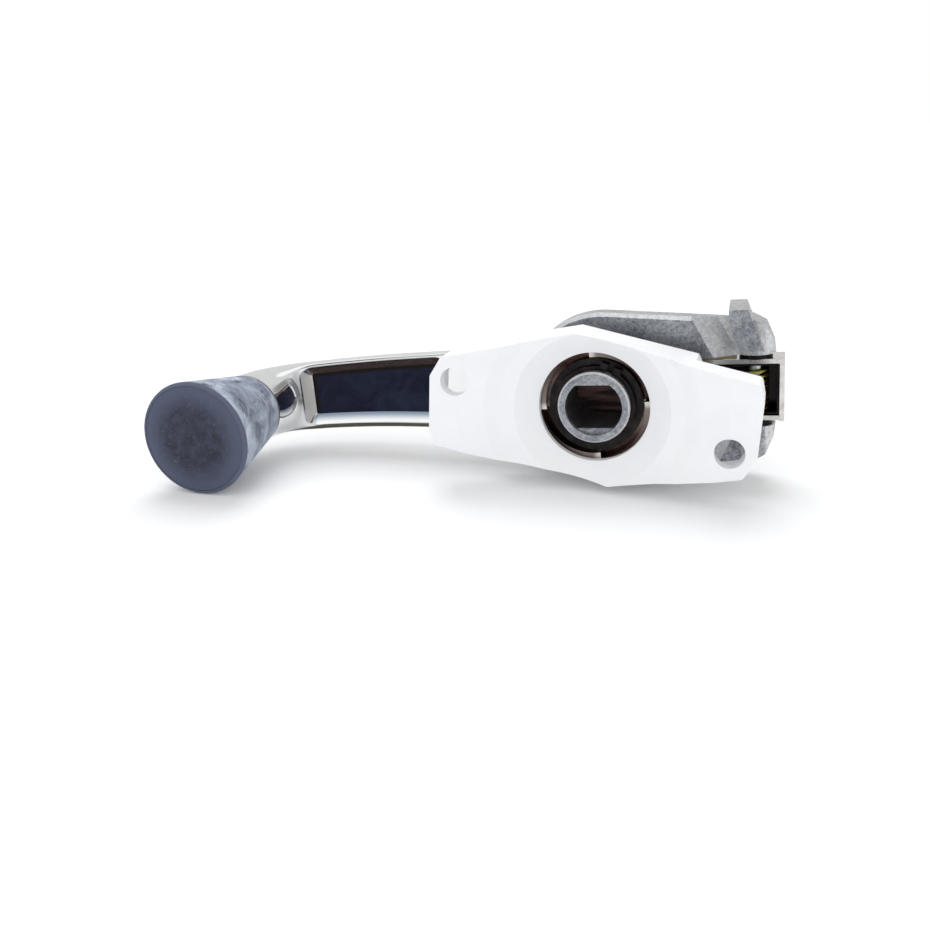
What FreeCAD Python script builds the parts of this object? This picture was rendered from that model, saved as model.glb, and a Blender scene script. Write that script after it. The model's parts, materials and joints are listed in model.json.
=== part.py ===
import FreeCAD, Part
import math
import os

os.makedirs("parts", exist_ok=True)

# Frame, in millimetres: the hub axis is Y through the origin, and the plate's screw pads lie in
# the plane Y = 0 and face -Y, the roof side. The folded arm runs towards -X, the hinge pin
# stands along Z at the +X end, and the knob's axis is parallel to the hub axis.

# Mounting plate: a point-symmetric hexagon with blunt ends
plate_half_length = 31.1
plate_half_height = 14.8
plate_corner_shares = [(0.079, -1.0), (0.88, -0.79), (0.962, -0.55), (1.0, 0.16), (0.985, 0.37)]
plate_corner_radius = 1.0
wing_depth = 6.8
wing_face = 2.6
wing_wall = 1.6
wing_rib = 1.4
screw_from_end = 5.0
screw_slope_deg = 15.3
screw_hole_radius = 2.75
disc_radius = 21.0
disc_back = 12.3
disc_core_radius = 15.0
disc_floor = 1.8
pad_inside_screws = 0.8
ledge_radius = 20.2
ledge_depth = 1.3
step_radius = 17.6
step_depth = 2.6
mouth_radius = 14.8
mouth_depth = 3.4
bore_radius = 10.6
mouth_end = 6.5
collar_radius = 13.0
collar_back = 12.5

# Ratchet ring, pressed into the plate's collar
ratchet_front = 7.8
ratchet_radius = 11.6
ratchet_recess = 0.2
tooth_count = 4
tooth_root_radius = 10.4
tooth_tip_radius = 9.4
tooth_phase_deg = 4.0
journal_front = 10.0
journal_radius = 8.6

# Hub casting: drive boss, shoulder, pan and hinge cheeks
boss_radius = 6.9
boss_front = 6.0
socket_radius = 5.45
socket_across_flats = 8.4
socket_lead = 0.8
boss_chamfer = 0.35
shoulder_radius = 12.0
shoulder_front = 13.2
hub_radius = 16.2
hub_front = 16.0
hub_floor = 2.3
hub_wall = 1.8
hub_depth = 4.0
hub_bevel = 0.7
tail_corner_from_pin = -0.8
tail_half_height = 14.0
tail_blunt_in = 1.8
tail_blunt_drop = 1.4
tail_nose_in = 0.3
tail_nose_drop = 4.7
slot_half_height = 7.0
slot_start = 17.5
facet_start = 21.4
facet_run = 4.6
facet_drop = 2.4
facet_slant_share = 0.52
fin_width = 3.1
fin_root_width = 4.2
fin_root_height = 8.2
fin_height = 17.0
fin_front_height = 16.0
fin_root_from_pin = -0.5
fin_lean = 2.7
fin_hollow = 0.6
fin_front = 15.5
fin_depth = 6.0

# Pieces on the boss
groove_front = 7.6
groove_width = 1.0
groove_depth = 0.5
circlip_radius = 7.7
circlip_ear_radius = 8.4
circlip_ear_width = 1.5
circlip_gap = 1.2
circlip_angle_deg = 65.0
click_washer_radius = 9.05
click_washer_thickness = 1.1
bush_running_fit = 0.05
thrust_washer_thickness = 0.5
thrust_washer_radius = 12.8
thrust_washer_fit = 0.2

# Hinge: pin, bracket, springs and washers
pin_x = 29.0
pin_y = 21.0
pin_radius = 1.5
pin_half_length = 12.2
pin_running_fit = 0.05
eye_radius = 3.7
bracket_half_height = 6.0
bracket_sheet = 1.0
bracket_start = 8.0
bracket_front = 18.7
bracket_web_from_pin = 4.3
web_front_overrun = 0.7
web_back_gap = 0.2
detent_sheet = 0.4
detent_start = 14.0
detent_inset = 0.5
washer_radius = 3.1
washer_play = 0.05
leaf_thickness = 0.4
leaf_start_gap = 0.3
leaf_front = 16.4
leaf_end_gap = 0.3
spring_wire = 0.6
spring_turns = 7
spring_pitch = 1.05
spring_front_leg = 14.5
spring_rear_leg = 12.0
spring_seat_gap = 0.25
rivet_radius = 1.2
rivet_head_radius = 2.0
rivet_head = 0.8
rivet_first_from_start = 3.0
rivet_pitch = 7.0
rivet_in_wall = 1.4

# Arm: cover over the hub, bar, pocket and elbow
cover_radius = 13.3
cover_gap = 0.3
cover_back = 29.2
cover_wall = 4.4
cover_side = 1.8
cover_end_from_pin = 6.0
cover_end_half_height = 12.2
cover_edge_radius = 1.9
cover_notch_gap = 0.3
neck_radius = 12.0
neck_strip = 3.0
neck_lip = 0.3
arm_reach = 73.4
arm_start = 17.0
arm_spine_from_back = 4.5
arm_lean_deg = 2.0
elbow_end = 5.5
bow_radius = 75.0
bow_end_deg = 18.0
arm_hub_half_height = 8.7
arm_half_height = 7.35
arm_front_offset = 4.5
arm_back_offset = 4.5
arm_corner = 0.9
arm_side_flat = 2.4
elbow_radius = 7.4
pocket_start = 34.6
pocket_end_from_knob = 8.5
pocket_border = 1.6
pocket_depth = 2.4
pocket_corner_radius = 1.8
pocket_last_turn_deg = 50.0
inlay_thickness = 0.4
inlay_gap = 0.05

# Knob and its axle
knob_small_radius = 7.6
knob_rim_radius = 11.2
knob_back_gap = 0.5
knob_length = 20.7
knob_rim_round = 0.7
knob_waist_share = 0.43
knob_waist_sag = 0.12
knob_back_round = 0.6
cap_radius = 10.4
cap_seat = 1.6
cap_dome = 0.7
axle_radius = 2.5
axle_fit = 0.05
axle_in_arm = 9.5
axle_head_radius = 4.2
axle_head = 1.6
axle_washer_radius = 4.6
axle_washer_thickness = 0.6
knob_bush_radius = 4.2
knob_bush_length = 11.0
knob_bush_inset = 0.3
knob_well_radius = 5.6
knob_washer_radius = 6.0
knob_washer_play = 0.1

# One overrun for every cut that runs out of a solid
overrun = 5.0

V = FreeCAD.Vector
UP = V(0, 0, 1)
BACK = V(0, 1, 0)

screw_radius = plate_half_length - screw_from_end
screw_x = screw_radius * math.cos(math.radians(screw_slope_deg))
screw_z = -screw_radius * math.sin(math.radians(screw_slope_deg))
pad_radius = screw_radius - pad_inside_screws
hub_back = hub_front + hub_depth
floor_back = hub_front + hub_floor
click_washer_front = groove_front + groove_width
bush_front = click_washer_front + click_washer_thickness
cover_front = hub_back + cover_gap
cover_inside = cover_back - cover_wall
cover_end = pin_x - cover_end_from_pin
arm_spine_depth = cover_back - arm_spine_from_back
pocket_end = arm_reach - pocket_end_from_knob
web_outside = pin_x + bracket_web_from_pin + bracket_sheet
spring_mean_radius = pin_y - floor_back - spring_seat_gap - spring_wire / 2
knob_x = -arm_reach
knob_back = elbow_end - knob_back_gap
knob_front = knob_back - knob_length
bush_end = knob_back - knob_bush_inset - knob_bush_length
axle_head_back = bush_end - axle_fit - axle_washer_thickness


def point(x, z, y=0.0):
    """A point given as in the roof-side view: x to the right, z up."""
    return V(x, y, z)


def disc(radius, front, back, x=0.0, z=0.0):
    """A cylinder along Y between two depths."""
    return Part.makeCylinder(radius, back - front, V(x, front, z), BACK)


def tube(outer, inner, front, back, x=0.0, z=0.0):
    """A ring along Y between two depths."""
    bore = disc(inner, front - overrun, back + overrun, x, z)
    return disc(outer, front, back, x, z).cut(bore)


def block(x0, x1, front, back, z0, z1):
    """A box given by its limits."""
    return Part.makeBox(x1 - x0, back - front, z1 - z0, V(x0, front, z0))


def arc(start, middle, end):
    return Part.Arc(start, middle, end).toShape()


def line(start, end):
    return Part.LineSegment(start, end).toShape()


def prism(wire, front, back):
    """A wire drawn in the plane Y = 0, run through between two depths."""
    face = Part.Face(wire)
    face.translate(V(0, front, 0))
    return face.extrude(V(0, back - front, 0))


def inset_prism(wire, inset, front, back):
    """As prism, with the outline moved inwards."""
    face = Part.Face(wire).makeOffset2D(-inset)
    face.translate(V(0, front, 0))
    return face.extrude(V(0, back - front, 0))


def rounded(corners, radius):
    """A closed wire through (x, z) corners, each rounded with a tangent arc."""
    places = [point(x, z) for x, z in corners]
    count = len(places)
    edges = []
    cuts = []
    for i in range(count):
        here = places[i]
        back = (places[i - 1] - here).normalize()
        ahead = (places[(i + 1) % count] - here).normalize()
        half = back.getAngle(ahead) / 2
        reach = radius / math.tan(half)
        middle = (back + ahead).normalize() * (radius / math.sin(half) - radius)
        cuts.append((here + back * reach, here + middle, here + ahead * reach))
    for i in range(count):
        start, middle, end = cuts[i]
        edges.append(arc(start, middle, end))
        edges.append(line(end, cuts[(i + 1) % count][0]))
    return Part.Wire(edges)


def tail_wire(radius, corners):
    """A circle about the hub axis that runs out to mirrored (x, z) corners at +X."""
    first_x, first_z = corners[0]
    far = math.hypot(first_x, first_z)
    angle = math.atan2(first_z, first_x) + math.acos(radius / far)
    top = point(radius * math.cos(angle), radius * math.sin(angle))
    low = point(top.x, -top.z)
    right = [point(x, z) for x, z in corners]
    right += [point(x, -z) for x, z in reversed(corners)]
    path = [top] + right + [low]
    edges = [line(path[i], path[i + 1]) for i in range(len(path) - 1)]
    edges.append(arc(low, point(-radius, 0), top))
    return Part.Wire(edges)


def revolved(profile):
    """A solid of revolution about the hub axis from (radius, depth) corners."""
    places = [V(radius, depth, 0) for radius, depth in profile]
    face = Part.Face(Part.makePolygon(places + places[:1]))
    return face.revolve(V(0, 0, 0), BACK, 360)


def dish():
    """What lies before the plate's shallow dish, its mouth included."""
    return revolved([
        (0.0, -overrun),
        (pad_radius, -overrun),
        (pad_radius, 0.0),
        (ledge_radius, ledge_depth),
        (step_radius, step_depth),
        (mouth_radius, mouth_depth),
        (bore_radius, mouth_end),
        (0.0, mouth_end),
    ])


def mounting_plate():
    half = [(plate_half_length * a, plate_half_height * b) for a, b in plate_corner_shares]
    outline = rounded(half + [(-x, -z) for x, z in half], plate_corner_radius)
    wings = prism(outline, 0.0, wing_depth)
    core = inset_prism(outline, wing_wall, wing_face, wing_depth + overrun)
    core = core.cut(disc(disc_radius + wing_wall, 0.0, wing_depth + overrun))
    core = core.cut(block(-plate_half_length, plate_half_length, 0.0, wing_depth + overrun,
                          -wing_rib / 2, wing_rib / 2))
    middle = prism(outline, 0.0, disc_back).common(disc(disc_radius, 0.0, disc_back))
    well = inset_prism(outline, wing_wall, mouth_depth + disc_floor, disc_back + overrun)
    well = well.common(disc(disc_radius - wing_wall, 0.0, disc_back + overrun))
    well = well.cut(disc(disc_core_radius, 0.0, disc_back + overrun))
    plate = wings.cut(core).fuse(middle.cut(well))
    plate = plate.fuse(disc(collar_radius, mouth_end, collar_back)).cut(dish())
    plate = plate.cut(disc(bore_radius, mouth_end - overrun, ratchet_front))
    plate = plate.cut(disc(ratchet_radius, ratchet_front, collar_back + overrun))
    for x, z in [(screw_x, screw_z), (-screw_x, -screw_z)]:
        plate = plate.cut(disc(screw_hole_radius, -overrun, disc_back + overrun, x, z))
    return plate.removeSplitter()


def tooth_gap():
    """The space inside the teeth: spiral ramps, each closed by a step on the radius."""
    step = 2 * math.pi / tooth_count
    phase = math.radians(tooth_phase_deg)
    edges = []
    for i in range(tooth_count):
        spots = []
        for share in (0.0, 1 / 2, 1.0):
            angle = phase + (i + share) * step
            radius = tooth_root_radius + share * (tooth_tip_radius - tooth_root_radius)
            spots.append(point(radius * math.cos(angle), radius * math.sin(angle)))
        edges.append(arc(*spots))
        last = phase + (i + 1) * step
        root = point(tooth_root_radius * math.cos(last), tooth_root_radius * math.sin(last))
        edges.append(line(spots[2], root))
    return Part.Wire(edges)


def ratchet_ring():
    back = collar_back - ratchet_recess
    ring = disc(ratchet_radius, ratchet_front, back)
    ring = ring.cut(prism(tooth_gap(), ratchet_front - overrun, journal_front))
    return ring.cut(disc(journal_radius, journal_front, back + overrun))


def hub_outline():
    corner_x = pin_x + tail_corner_from_pin
    end_x = pin_x + eye_radius
    corners = [
        (corner_x, tail_half_height),
        (end_x - tail_blunt_in, tail_half_height - tail_blunt_drop),
        (end_x - tail_nose_in, tail_half_height - tail_nose_drop),
        (end_x, slot_half_height),
    ]
    return tail_wire(hub_radius, corners)


def socket():
    """The double-D way through the boss, with a short round lead-in."""
    half = socket_across_flats / 2
    way = disc(socket_radius, boss_front - overrun, floor_back + overrun)
    flats = block(-socket_radius, socket_radius, boss_front + socket_lead,
                  floor_back + overrun, -half, half)
    lead = disc(socket_radius, boss_front - overrun, boss_front + socket_lead)
    return way.common(flats).fuse(lead)


def facet():
    """What lies before the sloping facet on the upper cheek; its edge slants in the view."""
    front = hub_front - overrun
    low = hub_front + facet_drop
    far = pin_x + eye_radius + overrun
    z = slot_half_height
    places = [
        point(facet_start, z, front),
        point(facet_start, z, hub_front),
        point(facet_start + facet_run, z, low),
        point(far + overrun, z, low),
        point(far + overrun, z, front),
    ]
    face = Part.Face(Part.makePolygon(places + places[:1]))
    rise = hub_radius
    return face.extrude(V(-facet_slant_share * rise, 0, rise))


def cheek():
    """The upper hinge cheek, cut to the facet, with a round eye about the pin."""
    top = hub_radius
    body = block(slot_start, pin_x, hub_front, hub_back, slot_half_height, top)
    body = body.cut(facet())
    eye = Part.makeCylinder(eye_radius, top - slot_half_height,
                            V(pin_x, pin_y, slot_half_height), UP)
    return body.fuse(eye)


def fin():
    """The stop fin leans over the upper cheek; one side is hollow and its top slopes."""
    root = pin_x + fin_root_from_pin
    tip = root - fin_lean
    half = fin_width / 2
    root_half = fin_root_width / 2
    near_root = point(root - root_half, fin_root_height)
    far_root = point(root + root_half, fin_root_height)
    far_tip = point(tip + half, fin_height)
    near_tip = point(tip - half, fin_height)
    hollow = (near_root + near_tip) * (1 / 2) - V(fin_hollow, 0, 0)
    wire = Part.Wire([line(near_root, far_root), line(far_root, far_tip),
                      line(far_tip, near_tip), arc(near_tip, hollow, near_root)])
    back = fin_front + fin_depth
    low = hub_radius / 2
    side_view = [V(0, fin_front, low), V(0, back, low),
                 V(0, back, fin_height), V(0, fin_front, fin_front_height)]
    under_slope = Part.Face(Part.makePolygon(side_view + side_view[:1]))
    under_slope = under_slope.extrude(V(pin_x + overrun, 0, 0))
    return prism(wire, fin_front, back).common(under_slope)


def hub_body():
    outline = hub_outline()
    pan = prism(outline, hub_front, hub_back)
    front_edges = [e for e in pan.Edges if e.BoundBox.YMax < hub_front + hub_bevel / 2]
    pan = pan.makeChamfer(hub_bevel, front_edges)
    hollow = inset_prism(outline, hub_wall, floor_back, hub_back + overrun)
    beyond = block(slot_start, pin_x + overrun + eye_radius, hub_front - overrun,
                   hub_back + overrun, -hub_radius, hub_radius)
    upper = cheek().common(prism(outline, hub_front - overrun, pin_y + eye_radius + overrun))
    lower = upper.mirror(V(0, 0, 0), UP)
    tail = upper.fuse(lower)
    body = pan.cut(hollow).cut(beyond).fuse(tail).fuse(fin())
    body = body.fuse(disc(shoulder_radius, shoulder_front, hub_front + hub_floor / 2))
    nose = Part.makeCone(boss_radius - boss_chamfer, boss_radius, boss_chamfer,
                         V(0, boss_front, 0), BACK)
    boss = nose.fuse(disc(boss_radius, boss_front + boss_chamfer, shoulder_front))
    groove = tube(boss_radius + overrun, boss_radius - groove_depth,
                  groove_front, groove_front + groove_width)
    body = body.fuse(boss.cut(groove)).cut(socket())
    pin_way = Part.makeCylinder(pin_radius, 2 * pin_half_length,
                                V(pin_x, pin_y, -pin_half_length), UP)
    return body.cut(pin_way).removeSplitter()


def hub_circlip():
    """An open ring in the groove, with two ears beside its gap."""
    back = groove_front + groove_width
    inner = boss_radius - groove_depth
    ring = tube(circlip_radius, inner, groove_front, back)
    half = circlip_gap / 2 + circlip_ear_width
    ears = block(inner, circlip_ear_radius, groove_front, back, -half, half)
    ears = ears.cut(disc(inner, groove_front - overrun, back + overrun))
    gap = block(0.0, circlip_ear_radius + overrun, groove_front - overrun, back + overrun,
                -circlip_gap / 2, circlip_gap / 2)
    clip = ring.fuse(ears).cut(gap).removeSplitter()
    clip.rotate(V(0, 0, 0), BACK, -circlip_angle_deg)
    return clip


def click_washer():
    return tube(click_washer_radius, boss_radius, click_washer_front, bush_front)


def bearing_bush():
    return tube(journal_radius - bush_running_fit, boss_radius, bush_front, shoulder_front)


def thrust_washer():
    inner = journal_radius - bush_running_fit + thrust_washer_fit
    front = shoulder_front - thrust_washer_thickness
    return tube(thrust_washer_radius, inner, front, shoulder_front)


def hinge_pin():
    return Part.makeCylinder(pin_radius, 2 * pin_half_length,
                             V(pin_x, pin_y, -pin_half_length), UP)


def pin_clearance():
    """The running hole for the pin in the pieces that swing on it."""
    return Part.makeCylinder(pin_radius + pin_running_fit, 2 * slot_half_height,
                             V(pin_x, pin_y, -slot_half_height), UP)


def hinge_bracket():
    """A channel: two legs, a base on the cover's wall and a web past the pin."""
    back = cover_inside
    high = bracket_half_height
    inner = high - bracket_sheet
    web_inside = web_outside - bracket_sheet
    side_back = back - web_back_gap
    legs = block(bracket_start, web_outside, bracket_front, side_back, -high, high)
    legs = legs.cut(block(bracket_start - overrun, web_inside, bracket_front - overrun,
                          back + overrun, -inner, inner))
    web = block(web_inside, web_outside, bracket_front - web_front_overrun, side_back,
                -high, high)
    base = block(bracket_start, web_outside, back - bracket_sheet, back, -high, high)
    bracket = legs.fuse(web).fuse(base).cut(pin_clearance())
    for i in range(2):
        bracket = bracket.cut(rivet_hole(i))
    return bracket.removeSplitter()


def rivet_place(index):
    return bracket_start + rivet_first_from_start + index * rivet_pitch


def rivet_hole(index):
    return disc(rivet_radius, cover_inside - overrun, cover_inside + rivet_in_wall,
                rivet_place(index))


def bracket_rivets():
    rivets = []
    for i in range(2):
        x = rivet_place(i)
        seat = cover_inside - bracket_sheet
        shank = disc(rivet_radius, seat, cover_inside + rivet_in_wall, x)
        head = disc(rivet_head_radius, seat - rivet_head, seat, x)
        rivets.append(shank.fuse(head).removeSplitter())
    return Part.makeCompound(rivets)


def detent_spring():
    """A thinner U nested in the bracket."""
    high = bracket_half_height - bracket_sheet
    inner = high - detent_sheet
    outside = web_outside - bracket_sheet
    front = bracket_front + detent_inset
    back = cover_inside - bracket_sheet - rivet_head - detent_inset
    spring = block(detent_start, outside, front, back, -high, high)
    inside = block(detent_start - overrun, outside - detent_sheet, front - overrun,
                   back + overrun, -inner, inner)
    return spring.cut(inside).cut(pin_clearance())


def hinge_washers():
    """One washer between each cheek and the bracket's leg."""
    low = bracket_half_height + washer_play
    high = slot_half_height - washer_play
    washers = []
    for start in (low, -high):
        body = Part.makeCylinder(washer_radius, high - low, V(pin_x, pin_y, start), UP)
        washers.append(body.cut(pin_clearance()))
    return Part.makeCompound(washers)


def friction_leaf():
    """A leaf that lies on the upper cheek's wall beside the bracket's leg."""
    start = slot_start + leaf_start_gap
    end = pin_x - washer_radius - leaf_end_gap
    return block(start, end, leaf_front, hub_back,
                 slot_half_height - leaf_thickness, slot_half_height)


def biarc(start, start_way, end, end_way):
    """Two tangent arcs from start to end that leave and arrive along the given unit ways."""
    gap = end - start
    both = start_way + end_way
    a = 2 * (1 - start_way.dot(end_way))
    b = 2 * gap.dot(both)
    reach = (-b + math.sqrt(b * b + 4 * a * gap.dot(gap))) / (2 * a)
    first = start + start_way * reach
    second = end - end_way * reach
    joint = (first + second) * (1 / 2)
    return [tangent_arc(start, first, joint), tangent_arc(joint, second, end)]


def tangent_arc(start, corner, end):
    """The arc from start to end that is tangent to the lines to their shared corner."""
    back = (start - corner).normalize()
    ahead = (end - corner).normalize()
    half = back.getAngle(ahead) / 2
    reach = (start - corner).Length
    radius = reach * math.tan(half)
    middle = corner + (back + ahead).normalize() * (radius / math.sin(half) - radius)
    return arc(start, middle, end)


def spring_coil():
    """Points and unit ways each quarter turn of the coil, from its front leg's side."""
    quarters = 4 * spring_turns + 2
    height = spring_pitch * quarters / 4
    places = []
    for i in range(quarters + 1):
        angle = -math.pi / 2 + i * math.pi / 2
        x = pin_x + spring_mean_radius * math.cos(angle)
        y = pin_y + spring_mean_radius * math.sin(angle)
        z = spring_pitch * i / 4 - height / 2
        inner = 0 < i < quarters
        climb = spring_pitch / (2 * math.pi * spring_mean_radius) if inner else 0
        way = V(-math.sin(angle), math.cos(angle), climb).normalize()
        places.append((V(x, y, z), way))
    return places


def spring_path():
    """The coil with a straight leg at each end: the legs lie on the floor and on the base."""
    coil = spring_coil()
    start, start_way = coil[0]
    end, end_way = coil[-1]
    front_end = start - start_way * spring_front_leg
    rear_end = end + end_way * spring_rear_leg
    edges = [line(front_end, start)]
    for (p, p_way), (q, q_way) in zip(coil, coil[1:]):
        edges += biarc(p, p_way, q, q_way)
    edges.append(line(end, rear_end))
    return Part.Wire(edges), start_way * -1


def torsion_spring():
    path, way = spring_path()
    tip = path.Edges[0].Vertexes[0].Point
    section = Part.Wire([Part.makeCircle(spring_wire / 2, tip, way)])
    return path.makePipeShell([section], True, False)


def spring_gap():
    """The least gap from turn to turn, measured on points."""
    coil = [place for place, way in spring_coil()]
    least = min((coil[i] - coil[j]).Length
                for i in range(len(coil)) for j in range(i + 3, len(coil)))
    return least - spring_wire


def cover_wire():
    """The cover's outline: a disc with a blunt tail and a neck that runs into the bar."""
    far_x = cover_end
    far_z = cover_end_half_height
    far = math.hypot(far_x, far_z)
    angle = math.atan2(far_z, far_x) + math.acos(cover_radius / far)
    top = point(cover_radius * math.cos(angle), cover_radius * math.sin(angle))
    reach = cover_radius + neck_radius
    neck_half = arm_hub_half_height + neck_lip
    centre_z = neck_half + neck_radius
    centre_x = -math.sqrt(reach ** 2 - centre_z ** 2)
    centre = point(centre_x, centre_z)
    share = cover_radius / reach
    meet = centre * share
    leave = point(centre_x, neck_half)
    middle = centre + ((meet + leave) * (1 / 2) - centre).normalize() * neck_radius
    strip = point(centre_x - neck_strip, neck_half)
    crown = math.pi / 2 + math.pi / 8
    over = point(cover_radius * math.cos(crown), cover_radius * math.sin(crown))
    upper = [line(strip, leave), arc(leave, middle, meet), arc(meet, over, top),
             line(top, point(far_x, far_z))]
    lower = [edge.mirror(V(0, 0, 0), UP) for edge in upper]
    ends = [line(point(far_x, far_z), point(far_x, -far_z)),
            line(point(strip.x, -strip.z), strip)]
    return Part.Wire(Part.__sortEdges__(upper + lower + ends))


def arm_path():
    """The bar's spine: a straight run, a long bow and a tight elbow, square onto the knob.

    The starts of the bow and of the elbow as (x, y), and the elbow's bend radius.
    """
    lean = math.radians(arm_lean_deg)
    bow = math.radians(bow_end_deg)
    bow_run = bow_radius * (math.sin(bow) - math.sin(lean))
    bow_sink = bow_radius * (math.cos(lean) - math.cos(bow))
    full_sink = (arm_reach - arm_start - bow_run) * math.tan(lean) + bow_sink
    bend_radius = ((arm_spine_depth - elbow_end - full_sink)
                   / (math.cos(bow) - math.tan(lean) * (1 - math.sin(bow))))
    elbow_x = -arm_reach + bend_radius * (1 - math.sin(bow))
    bow_x = elbow_x + bow_run
    bow_y = arm_spine_depth - (-arm_start - bow_x) * math.tan(lean)
    return (bow_x, bow_y), (elbow_x, bow_y - bow_sink), bend_radius


def spine_place(turn_deg):
    """The spine's (x, y) where it has turned by an angle, on the bow or on the elbow."""
    bow_at, elbow_at, bend_radius = arm_path()
    if turn_deg <= bow_end_deg:
        at, radius, first_deg = bow_at, bow_radius, arm_lean_deg
    else:
        at, radius, first_deg = elbow_at, bend_radius, bow_end_deg
    turn = math.radians(turn_deg)
    first = math.radians(first_deg)
    return (at[0] - radius * (math.sin(turn) - math.sin(first)),
            at[1] - radius * (math.cos(first) - math.cos(turn)))


def bar_half_height(reach):
    """The bar narrows evenly from the hub to the elbow."""
    elbow_reach = -arm_path()[1][0]
    share = min(1.0, (reach - arm_start) / (elbow_reach - arm_start))
    return arm_hub_half_height + share * (arm_half_height - arm_hub_half_height)


def arm_stations():
    """Each station is (x, y, turn in degrees, share of the way to the elbow's round section)."""
    bow_at = arm_path()[0]
    stations = []
    for share in (0.0, 1 / 2, 1.0):
        x = -arm_start + share * (bow_at[0] + arm_start)
        y = arm_spine_depth + share * (bow_at[1] - arm_spine_depth)
        stations.append((x, y, arm_lean_deg, 0.0))
    middle_deg = (arm_lean_deg + bow_end_deg) / 2
    stations.append((*spine_place(middle_deg), middle_deg, 0.0))
    for share in (0.0, 1 / 4, 1 / 2, 3 / 4, 1.0):
        turn_deg = bow_end_deg + share * (90 - bow_end_deg)
        round_share = share ** 2 * (3 - 2 * share)
        stations.append((*spine_place(turn_deg), turn_deg, round_share))
    return stations


def arm_section(x, y, turn_deg, round_share):
    """One closed section of the bar, square to its spine; it goes over into a circle."""
    turn = math.radians(turn_deg)
    front = V(math.sin(turn), -math.cos(turn), 0)
    high = bar_half_height(-x)
    side = arm_front_offset - arm_corner
    slant = arm_corner * math.sqrt(1 / 2)
    bar = [
        (arm_front_offset, 0.0),
        (arm_front_offset, high - arm_corner),
        (side + slant, high - arm_corner + slant),
        (side, high),
        (side - arm_side_flat / 2, high),
        (side - arm_side_flat, high),
        (-arm_back_offset, 0.0),
    ]
    round_degs = [0, 35, 44, 53, 68, 83, 180]
    ring = [(elbow_radius * math.cos(math.radians(a)), elbow_radius * math.sin(math.radians(a)))
            for a in round_degs]
    mixed = [(b[0] + (r[0] - b[0]) * round_share, b[1] + (r[1] - b[1]) * round_share)
             for b, r in zip(bar, ring)]
    centre = V(x, y, 0)
    highs = [centre + front * a + UP * b for a, b in mixed]
    lows = [centre + front * a - UP * b for a, b in mixed]
    flat = round_share == 0
    edges = [
        line(lows[1], highs[1]) if flat else arc(lows[1], highs[0], highs[1]),
        arc(highs[1], highs[2], highs[3]),
        line(highs[3], highs[5]) if flat else arc(highs[3], highs[4], highs[5]),
        arc(highs[5], highs[6], lows[5]),
        line(lows[5], lows[3]) if flat else arc(lows[5], lows[4], lows[3]),
        arc(lows[3], lows[2], lows[1]),
    ]
    return Part.Wire(edges)


def before_depth(depth):
    """All that lies before a surface at an even depth behind the bar's roof side."""
    offset = arm_front_offset - depth

    def place(x, y, turn_deg):
        turn = math.radians(turn_deg)
        return V(x + offset * math.sin(turn), y - offset * math.cos(turn), 0)

    def bend(first_deg, last_deg):
        middle_deg = (first_deg + last_deg) / 2
        return arc(*[place(*spine_place(t), t) for t in (first_deg, middle_deg, last_deg)])

    start = place(-arm_start, arm_spine_depth, arm_lean_deg)
    bow_start = place(*spine_place(arm_lean_deg), arm_lean_deg)
    end = place(*spine_place(pocket_last_turn_deg), pocket_last_turn_deg)
    edges = [
        line(start, bow_start),
        bend(arm_lean_deg, bow_end_deg),
        bend(bow_end_deg, pocket_last_turn_deg),
        line(end, V(end.x, 0, 0)),
        line(V(end.x, 0, 0), V(start.x, 0, 0)),
        line(V(start.x, 0, 0), start),
    ]
    high = arm_hub_half_height
    face = Part.Face(Part.Wire(Part.__sortEdges__(edges)))
    face.translate(V(0, 0, -high))
    return face.extrude(V(0, 0, 2 * high))


def pocket_wire():
    """The pocket's rounded outline, an even border inside the bar's sides."""
    near = bar_half_height(pocket_start) - pocket_border
    far = bar_half_height(pocket_end) - pocket_border
    return rounded([(-pocket_end, -far), (-pocket_start, -near),
                    (-pocket_start, near), (-pocket_end, far)], pocket_corner_radius)


def arm_pocket():
    """The long recess in the bar's roof side, with its floor at an even depth."""
    return prism(pocket_wire(), 0.0, cover_back).common(before_depth(pocket_depth))


def pocket_inlay():
    """A thin strip that lines the floor of the recess."""
    strip = inset_prism(pocket_wire(), inlay_gap, 0.0, cover_back)
    strip = strip.common(before_depth(pocket_depth))
    return strip.cut(before_depth(pocket_depth - inlay_thickness))


def crank_arm():
    outline = cover_wire()
    cover = prism(outline, cover_front, cover_back)
    back_edges = [e for e in cover.Edges if e.BoundBox.YMin > cover_back - cover_edge_radius / 2
                  and e.BoundBox.XMax > -arm_start]
    cover = cover.makeFillet(cover_edge_radius, back_edges)
    bar = Part.makeLoft([arm_section(*station) for station in arm_stations()], True, False)
    arm = cover.fuse(bar)
    hollow_wire = tail_wire(cover_radius - cover_side,
                            [(cover_end - cover_side, cover_end_half_height - cover_side)])
    arm = arm.cut(prism(hollow_wire, cover_front - overrun, cover_inside))
    notch_half = bracket_half_height + cover_notch_gap
    notch = block(cover_end - cover_side - overrun, cover_end + overrun,
                  cover_front - overrun, cover_inside, -notch_half, notch_half)
    arm = arm.cut(notch).cut(arm_pocket())
    axle_way = disc(axle_radius, elbow_end - overrun, elbow_end + axle_in_arm, knob_x)
    arm = arm.cut(axle_way)
    for i in range(2):
        arm = arm.cut(rivet_hole(i))
    return arm.removeSplitter()


def knob_profile():
    """The grip's outside from its back to its face, with a waisted flank."""
    waist_y = knob_back - knob_length * knob_waist_share
    spread = (knob_rim_radius - knob_small_radius) * knob_waist_share
    waist_r = knob_small_radius + spread - knob_waist_sag
    return V(knob_x + waist_r, waist_y, 0)


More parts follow.
